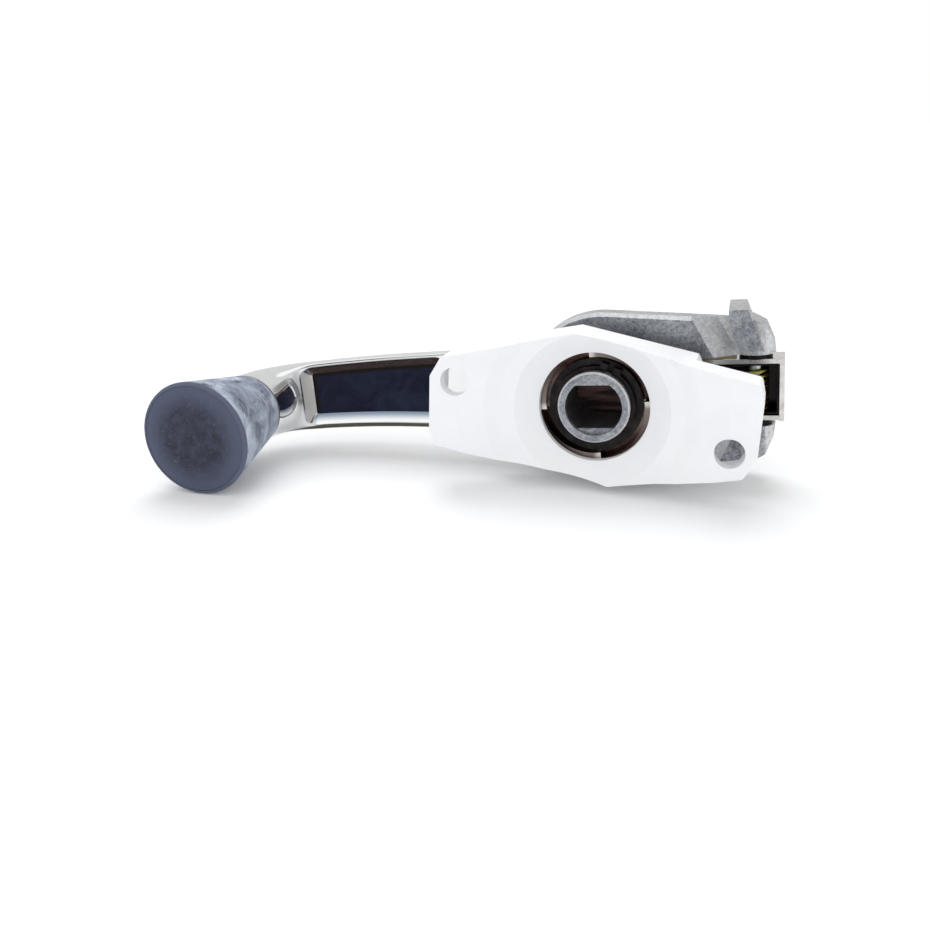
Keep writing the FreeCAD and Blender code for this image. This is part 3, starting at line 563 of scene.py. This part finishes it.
def skin(name, grid, finish, body, crease_deg=40.0):
    """A closed skin over a grid of points (rows, ring, 3), each row a ring, capped at both ends.

    Corner numbers of a cell: a = row * n + k and its neighbours, with k wrapping at the ring's
    n points. The ends are fans about the middle of the first and of the last row.
    """
    rows, ring = grid.shape[:2]
    ends = np.array([grid[0].mean(axis=0), grid[-1].mean(axis=0)])
    points = np.vstack([grid.reshape(-1, 3), ends])
    row, k = np.meshgrid(np.arange(rows - 1), np.arange(ring), indexing="ij")
    here, beside = row * ring + k, row * ring + (k + 1) % ring
    quads = np.stack([here, beside, beside + ring, here + ring], axis=-1).reshape(-1, 4)
    spin = np.arange(ring)
    after = (spin + 1) % ring
    first = np.stack([after, spin, np.full(ring, rows * ring)], axis=-1)
    last = np.stack([spin, after, np.full(ring, rows * ring + 1)], axis=-1)
    last[:, :2] += (rows - 1) * ring
    mesh = bpy.data.meshes.new(name)
    mesh.from_pydata(points.tolist(), [], quads.tolist() + first.tolist() + last.tolist())
    mesh.shade_smooth()
    mesh.set_sharp_from_angle(angle=math.radians(crease_deg))
    mesh.materials.append(finishes[finish])
    piece = bpy.data.objects.new(name, mesh)
    bpy.context.scene.collection.objects.link(piece)
    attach(piece, body)
    return piece


def spun(name, profile, finish, body, around=192):
    """A profile of (y, radius) pairs spun about the knob's axis: x + r cos t, y, r sin t, in mm."""
    along, radius = np.array([(y * mm, r * mm) for y, r in profile]).T
    turn = np.linspace(0.0, 2.0 * np.pi, around, endpoint=False)
    grid = np.stack([knob_x * mm + np.outer(radius, np.cos(turn)),
                     np.repeat(along[:, None], around, axis=1),
                     np.outer(radius, np.sin(turn))], axis=-1)
    return skin(name, grid, finish, body)


def bend(from_deg, to_deg, steps):
    """Cosine and sine over a run of angles, for the rounded corners of a profile."""
    turn = np.radians(np.linspace(from_deg, to_deg, steps))
    return np.cos(turn), np.sin(turn)


print("builders: skin, spun, bend")

# %% [markdown]
# The bar runs along a spine: straight and slightly leaning, then a long bow, then a tight elbow
# that ends square on the knob. Its front carries the recess. The recess is a height field: every
# point of the front is pushed in by the distance that it lies inside the recess's lip, which gives
# walls at 45 degrees with a mitred corner, and the lip itself is softened over a fraction of a
# millimetre.

# %% The bar's spine

elbow_end_y, spine_start = 5.5, np.array([-17.0, 24.7])
lean_turn, bow_turn, bow_radius = math.radians(2.0), math.radians(18.0), 75.0
bow_reach = bow_radius * (math.sin(bow_turn) - math.sin(lean_turn))
bow_sink = bow_radius * (math.cos(lean_turn) - math.cos(bow_turn))
all_sink = (spine_start[0] - knob_x - bow_reach) * math.tan(lean_turn) + bow_sink
elbow_bend = ((spine_start[1] - elbow_end_y - all_sink)
              / (math.cos(bow_turn) - math.tan(lean_turn) * (1.0 - math.sin(bow_turn))))
elbow_x = knob_x + elbow_bend * (1.0 - math.sin(bow_turn))
bow_from = np.array([elbow_x + bow_reach, 0.0])
bow_from[1] = spine_start[1] - (spine_start[0] - bow_from[0]) * math.tan(lean_turn)
elbow_from = np.array([elbow_x, bow_from[1] - bow_sink])
bar_from_x = -16.95
straight_run = (bar_from_x - bow_from[0]) / math.cos(lean_turn)
bow_run = bow_radius * (bow_turn - lean_turn)
elbow_run = elbow_bend * (math.pi / 2 - bow_turn)
print("the bow starts at", bow_from.round(2), "and the elbow at", elbow_from.round(2))

# %% [markdown]
# Stations along the spine lie closer together at both ends of the recess, where its walls turn.

# %% Stations along the spine

recess_right, recess_left = -33.7, straight_run + bow_run + 5.8
run = np.unique(np.concatenate([
    np.linspace(0.0, straight_run + bow_run + elbow_run, 150),
    -recess_right + bar_from_x + np.linspace(-0.6, 3.0, 37),
    recess_left + np.linspace(-5.2, 0.8, 61)]))
on_bow = np.clip(run - straight_run, 0.0, bow_run)
on_elbow = np.clip(run - straight_run - bow_run, 0.0, elbow_run)
turn = lean_turn + on_bow / bow_radius + on_elbow / elbow_bend
back_along = np.clip(straight_run - run, 0.0, None)
spine_x = (bow_from[0] + back_along * math.cos(lean_turn)
           - bow_radius * (np.sin(lean_turn + on_bow / bow_radius) - math.sin(lean_turn))
           - elbow_bend * (np.sin(bow_turn + on_elbow / elbow_bend) - math.sin(bow_turn)))
spine_y = (bow_from[1] + back_along * math.sin(lean_turn)
           - bow_radius * (math.cos(lean_turn) - np.cos(lean_turn + on_bow / bow_radius))
           - elbow_bend * (math.cos(bow_turn) - np.cos(bow_turn + on_elbow / elbow_bend)))
print("stations:", len(run))

# %% [markdown]
# Each station has its own half height, corners and share of roundness: the bar narrows towards the
# elbow, its upper corner tightens over the first millimetres, and in the elbow the section goes
# over into a circle.

# %% The bar's section

wide_half, slim_half, soft_corner, tight_corner = 8.7, 7.35, 0.9, 0.45
slim = np.clip((spine_start[0] - spine_x) / (spine_start[0] - elbow_from[0]), 0.0, 1.0)
half_height = wide_half + slim * (slim_half - wide_half)
settle = np.clip(run / 6.0, 0.0, 1.0)
upper_corner = soft_corner + settle * (tight_corner - soft_corner)
lower_corner = np.full_like(run, soft_corner)
share = np.clip((turn - bow_turn) / (math.pi / 2 - bow_turn), 0.0, 1.0)
share = share ** 2 * (3.0 - 2.0 * share)

close_reach, wide_reach = 2.9, 4.2
inset = np.concatenate([np.linspace(0.0, close_reach, 42),
                        close_reach + np.linspace(0.0, 1.0, 9)[1:-1] ** 1.2 * wide_reach])
bar_front, elbow_round = 4.5, 7.4
side_flat, side_steps, corner_steps, back_steps = 2.4, 5, 8, 30
front_ends, corner_ends, side_ends = 35.0, 53.0, 83.0
wall_depth, recess_corner, lip_soft, floor_soft, far_slope = 2.25, 2.4, 0.22, 0.1, 0.54
from_right = (run - (bar_from_x - recess_right))[:, None]
from_left = ((recess_left - run) * far_slope)[:, None]
rows = len(run)
high = half_height[:, None]
mix = share[:, None]


def softened(value, reach):
    """0 below -reach, the value above reach, and a parabola that joins them."""
    return np.where(value > reach, value, np.clip(value + reach, 0.0, None) ** 2 / (4.0 * reach))


def half_section(corner, lip_inset):
    """One half of every row, from the middle of the front over the side to the middle of the back.

    out is how far a point lies before the spine, tall how far to the side. The corner is a
    quarter circle, and the back is the circle through both side edges and the back's middle. The
    section goes over into a circle as the elbow turns; its front, corner and side then end at
    front_ends, corner_ends and side_ends degrees. The recess sinks by how far a point lies inside
    its lip, down to wall_depth.
    """
    round_off = corner[:, None]
    front_z = np.maximum(high - round_off - inset[None, ::-1], 0.0)
    front_z[:, 0] = 0.0
    cosine, sine = bend(0.0, 90.0, corner_steps)
    edge_out = bar_front - corner - side_flat
    middle_out = ((half_height ** 2 + edge_out ** 2 - bar_front ** 2)
                  / (2.0 * (edge_out + bar_front)))
    swing = np.arctan2(half_height, edge_out - middle_out)[:, None]
    sweep = swing + (math.pi - swing) * np.linspace(0.0, 1.0, back_steps)[None, 1:]
    back_radius = (middle_out + bar_front)[:, None]
    out = np.hstack([np.full_like(front_z, bar_front),
                     bar_front - round_off + round_off * cosine[None, :],
                     bar_front - round_off - np.linspace(0.0, side_flat, side_steps)[None, 1:],
                     middle_out[:, None] + back_radius * np.cos(sweep)])
    tall = np.hstack([front_z, high - round_off + round_off * sine[None, :],
                      np.repeat(high, side_steps - 1, axis=1), back_radius * np.sin(sweep)])
    later = np.concatenate([np.linspace(front_ends, corner_ends, corner_steps),
                            np.linspace(corner_ends, side_ends, side_steps)[1:],
                            np.linspace(side_ends, 180.0, back_steps)[1:]])
    ring_turn = np.radians(np.hstack([front_ends * front_z / (high - round_off),
                                      np.repeat(later[None, :], rows, axis=0)]))
    out += (elbow_round * np.cos(ring_turn) - out) * mix
    tall += (elbow_round * np.sin(ring_turn) - tall) * mix

    from_end = np.minimum(from_right, from_left) + 0.0 * tall
    gap_side = recess_corner - (high - lip_inset - tall)
    gap_end = recess_corner - from_end
    inside = (recess_corner - np.hypot(np.maximum(gap_side, 0.0), np.maximum(gap_end, 0.0))
              - np.minimum(np.maximum(gap_side, gap_end), 0.0))
    sunk = wall_depth - softened(wall_depth - softened(inside, lip_soft), floor_soft)
    on_front = np.arange(tall.shape[1])[None, :] < front_z.shape[1] + corner_steps
    out -= np.where(on_front, np.clip(sunk, 0.0, wall_depth), 0.0)
    return out, tall


print("section: softened, half_section")

# %% [markdown]
# Two halves make the section: the lip above the recess is narrower than the one below. Every
# section stands square to the spine at its station.

# %% Fine chrome bar

upper_lip, lower_lip = 0.62, 1.05
upper_out, upper_tall = half_section(upper_corner, upper_lip)
lower_out, lower_tall = half_section(lower_corner, lower_lip)
out = np.hstack([upper_out, lower_out[:, -2:0:-1]])
tall = np.hstack([upper_tall, -lower_tall[:, -2:0:-1]])
grid = np.stack([spine_x[:, None] + np.sin(turn)[:, None] * out,
                 spine_y[:, None] - np.cos(turn)[:, None] * out,
                 tall], axis=-1) * mm
arm_bar = skin("arm_bar", grid[:, ::-1], "chrome", "arm", crease_deg=60.0)
print("bar:", grid.shape[:2], "rows and points a row")

# %% [markdown]
# The cover over the hub stays as the CAD model has it, without the bar. A CAD mesh is loose
# triangles, so the copy first merges corners that share a place. It keeps the shading that the
# CAD model gave each corner, and its opening is hidden by the bar that starts inside it.

# %% Arm cover without the bar

cover_from_x = -0.0173
source = nodes["crank_arm"].data
places = np.empty(len(source.vertices) * 3, dtype=np.float32)
source.vertices.foreach_get("co", places)
places = places.reshape(-1, 3).astype(float)
faces = np.array([face.vertices[:] for face in source.polygons])
shading = np.array([corner.vector[:] for corner in source.corner_normals]).reshape(-1, 3, 3)
kept = (places[faces][:, :, 0] > cover_from_x).all(axis=1)
merged, of_corner = np.unique(np.round(places, 7), axis=0, return_inverse=True)
triangles, shading = of_corner.reshape(-1)[faces[kept]], shading[kept]
whole = (triangles != np.roll(triangles, 1, axis=1)).all(axis=1)
triangles, shading = triangles[whole], shading[whole]
used, renumbered = np.unique(triangles, return_inverse=True)
cover_mesh = bpy.data.meshes.new("arm_cover")
cover_mesh.from_pydata(merged[used].tolist(), [], renumbered.reshape(-1, 3).tolist())
cover_mesh.shade_smooth()
cover_mesh.normals_split_custom_set(shading.reshape(-1, 3).tolist())
cover_mesh.materials.append(finishes["chrome"])
arm_cover = bpy.data.objects.new("arm_cover", cover_mesh)
bpy.context.scene.collection.objects.link(arm_cover)
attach(arm_cover, "arm")
for piece in (arm_bar, arm_cover):
    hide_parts("crank_arm")
print("cover:", len(renumbered) // 3, "triangles of", len(faces))

# %% [markdown]
# The knob is two turned surfaces. The grip's flank is a straight cone with a rounded rim; the
# face disc lies in it with a hair of a gap, and its edge is rounded too, so that a thin dark line
# shows where they meet. The disc is slightly domed.

# %% Fine knob

face_y, back_y, seat_y, well_y = -15.7, 5.0, -14.1, -6.3
rim_radius, small_radius, bore_radius, well_radius = 11.2, 7.6, 4.25, 5.6
rim_round, back_round, disc_radius = 0.7, 0.5, 10.55
cosine, sine = bend(0.0, 90.0, 12)
rim = list(zip(face_y + rim_round - rim_round * sine, rim_radius - rim_round + rim_round * cosine))
back_edge = list(zip(back_y - back_round + back_round * sine[::-1],
                     small_radius - back_round + back_round * cosine[::-1]))
flank = list(zip(np.linspace(back_y - back_round, face_y + rim_round, 24)[1:-1],
                 np.linspace(small_radius, rim_radius, 24)[1:-1]))
inner_lip = [(face_y, disc_radius + 0.10), (face_y + 0.12, disc_radius + 0.05),
             (seat_y, disc_radius + 0.05)]
grip_profile = ([(well_y, bore_radius), (back_y, bore_radius)] + back_edge + flank + rim
                + inner_lip + [(seat_y, well_radius), (well_y, well_radius), (well_y, bore_radius)])
grip = spun("knob_grip", grip_profile, "slate_rubber", "knob")
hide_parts("knob_body")

dome_y, edge_round, hair = -16.4, 0.3, 0.02
disc_y = face_y - hair
spread = np.linspace(0.0, 1.0, 26)[1:]
dome = list(zip(dome_y + (disc_y - dome_y) * spread ** 2, (disc_radius - edge_round) * spread))
edge = list(zip(disc_y + edge_round - edge_round * cosine,
                disc_radius - edge_round + edge_round * sine))
face_profile = ([(dome_y, 0.0)] + dome + edge[1:]
                + [(seat_y - hair, disc_radius), (seat_y - hair, 0.0)])
face = spun("knob_face", face_profile, "slate_face", "knob")
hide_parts("knob_cap")
print("knob pieces:", grip.name, face.name)

# %% [markdown]
# The crank lies on its side on white paper. It touches at the rim of the hub and the rim of the
# knob, so the paper is the plane under those two circles; against the frame it leans a few degrees.

# %% The paper

hub_radius, paper_gap, paper_reach = 0.0162, 0.0001, 6.0
lean = math.asin((hub_radius - rim_radius * mm) / (-knob_x * mm))
paper_normal = Vector((math.sin(lean), 0.0, math.cos(lean)))
across = Vector((math.cos(lean), 0.0, -math.sin(lean)))
middle = paper_normal * -(hub_radius + paper_gap)
corners = [middle + across * (a * paper_reach) + Vector((0, b * paper_reach, 0))
           for a, b in ((-1, -1), (1, -1), (1, 1), (-1, 1))]
paper_mesh = bpy.data.meshes.new("paper")
paper_mesh.from_pydata([tuple(c) for c in corners], [], [(0, 1, 2, 3)])
paper = bpy.data.objects.new("paper", paper_mesh)
bpy.context.scene.collection.objects.link(paper)
paper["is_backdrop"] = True
print("the paper leans", round(math.degrees(lean), 2), "degrees")

# %% [markdown]
# White paper under a plain light still renders a shade under white. For the camera, and for
# what shines or is clear, a little light of its own lifts it to white; its shadows stay.

# %% Finish: paper

paper_lift = 0.07
material, tree, shader, place = blank("paper", rough=0.9, specular=0.1)
shader.inputs["Base Color"].default_value = (0.885, 0.893, 0.905, 1.0)
shader.inputs["Emission Color"].default_value = (1.0, 0.94, 0.87, 1.0)


def seen_directly(tree):
    """1 for what the camera, a shiny or a clear surface sees, else 0; and 1 for the camera only."""
    ray = tree.nodes.new("ShaderNodeLightPath").outputs
    shiny = either(tree, ray["Is Camera Ray"], ray["Is Glossy Ray"])
    return either(tree, shiny, ray["Is Transmission Ray"]), ray["Is Camera Ray"]


direct, _ = seen_directly(tree)
tree.links.new(blend_value(tree, direct, 0.0, paper_lift), shader.inputs["Emission Strength"])
paper_mesh.materials.append(material)
print("the paper is lifted by", paper_lift)

# %% [markdown]
# Three things light the crank: an even white surround, a soft lamp overhead that stands a little
# behind it, so that its shadow falls forward, and a very wide one in front. The lamps are suns
# with a wide disc, so that the paper is lit evenly as far as it runs. Strength over pi is how
# bright a white surface square to a sun gets, and with the surround these add up to about one.
# Shiny surfaces don't see the suns themselves, only the surround, which is painted for them in
# the next cell.

# %% Light


def soft_sun(name, toward, level, spread_deg):
    """A wide, soft lamp that shines from a direction; level is what it adds to a white surface."""
    lamp = bpy.data.lights.new(name, "SUN")
    lamp.energy = level * math.pi
    lamp.angle = math.radians(spread_deg)
    sun = bpy.data.objects.new(name, lamp)
    sun.rotation_mode = "QUATERNION"
    sun.rotation_quaternion = Vector(toward).to_track_quat("Z", "Y")
    sun.visible_glossy = False
    bpy.context.scene.collection.objects.link(sun)
    return sun


soft_sun("overhead", (-0.12, 0.50, 0.85), 0.44, 44.0)
soft_sun("front", (0.12, -0.80, 0.60), 0.50, 150.0)
print("two suns")

# %% [markdown]
# The surround is white to the camera. What the shiny pieces see of it isn't even: there is a
# bright panel overhead, a slightly grey wall all round, a dark room on the camera's side and a
# dimmer doorway behind on the right. Without dark parts polished metal has nothing to show
# and looks like white plastic.

# %% Surround

soft_level = 0.46
world = bpy.data.worlds.new("surround")
bpy.context.scene.world = world
world.use_nodes = True
tree = world.node_tree
ground = tree.nodes["Background"]
ground.inputs["Color"].default_value = (1.0, 1.0, 1.0, 1.0)
direct, by_camera = seen_directly(tree)
way = tree.nodes.new("ShaderNodeTexCoord").outputs["Generated"]


def dark_patch(tree, way, toward, start, full):
    """A soft round patch of the surround: 0 outside the cosine start, 1 inside the cosine full."""
    aim = reach_along(tree, "towards a dark patch", way, Vector(toward).normalized())
    return ramp(tree, aim, start, full)


stand = dark_patch(tree, way, (0.22, -0.93, 0.30), 0.74, 0.95)
doorway = dark_patch(tree, way, (0.80, 0.58, 0.12), 0.80, 0.97)
wall_level, stand_level, doorway_share, panel_level = 0.80, 0.16, 0.75, 0.40
dark = either(tree, stand, blend_value(tree, doorway, 0.0, doorway_share))
wall = blend_value(tree, dark, wall_level, stand_level)
panel = blend_value(tree, ramp(tree, axes_of(tree, way)["Z"], 0.84, 0.92), 0.0, panel_level)
glossy = work_out(tree, "what metal sees", "ADD", wall, panel).outputs[0]
for_camera = add(tree, "ShaderNodeMix", Factor=by_camera, A=glossy, B=1.0)
level = add(tree, "ShaderNodeMix", Factor=direct, A=soft_level, B=for_camera.outputs["Result"])
tree.links.new(level.outputs["Result"], ground.inputs["Strength"])
print("the surround lights soft surfaces at", soft_level)

# %% [markdown]
# The camera stands where the photograph was taken: its place and turn were found from the
# circles and straight edges of the plate, the hub and the knob.

# %% Camera

eye = Vector((0.0345, -0.1718, 0.0493))
right = Vector((0.951, 0.297, -0.085)).normalized()
forward = Vector((-0.309, 0.900, -0.309))
forward = (forward - right * forward.dot(right)).normalized()
up = right.cross(forward)
focal_px, picture_px = 985.0, 930.0
lens = bpy.data.cameras.new("camera")
lens.sensor_width = 36.0
lens.lens = lens.sensor_width * focal_px / picture_px
lens.clip_start = 0.005
lens.clip_end = 20.0
camera = bpy.data.objects.new("camera", lens)
camera.matrix_world = Matrix((
    (right.x, up.x, -forward.x, eye.x),
    (right.y, up.y, -forward.y, eye.y),
    (right.z, up.z, -forward.z, eye.z),
    (0.0, 0.0, 0.0, 1.0)))
bpy.context.scene.collection.objects.link(camera)
bpy.context.scene.camera = camera
bpy.context.scene.view_settings.view_transform = "Standard"
print("camera at", tuple(round(v, 4) for v in camera.location))

# %% Size

low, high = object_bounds()
print("size in mm:", [round((b - a) * 1000, 2) for a, b in zip(low, high)])
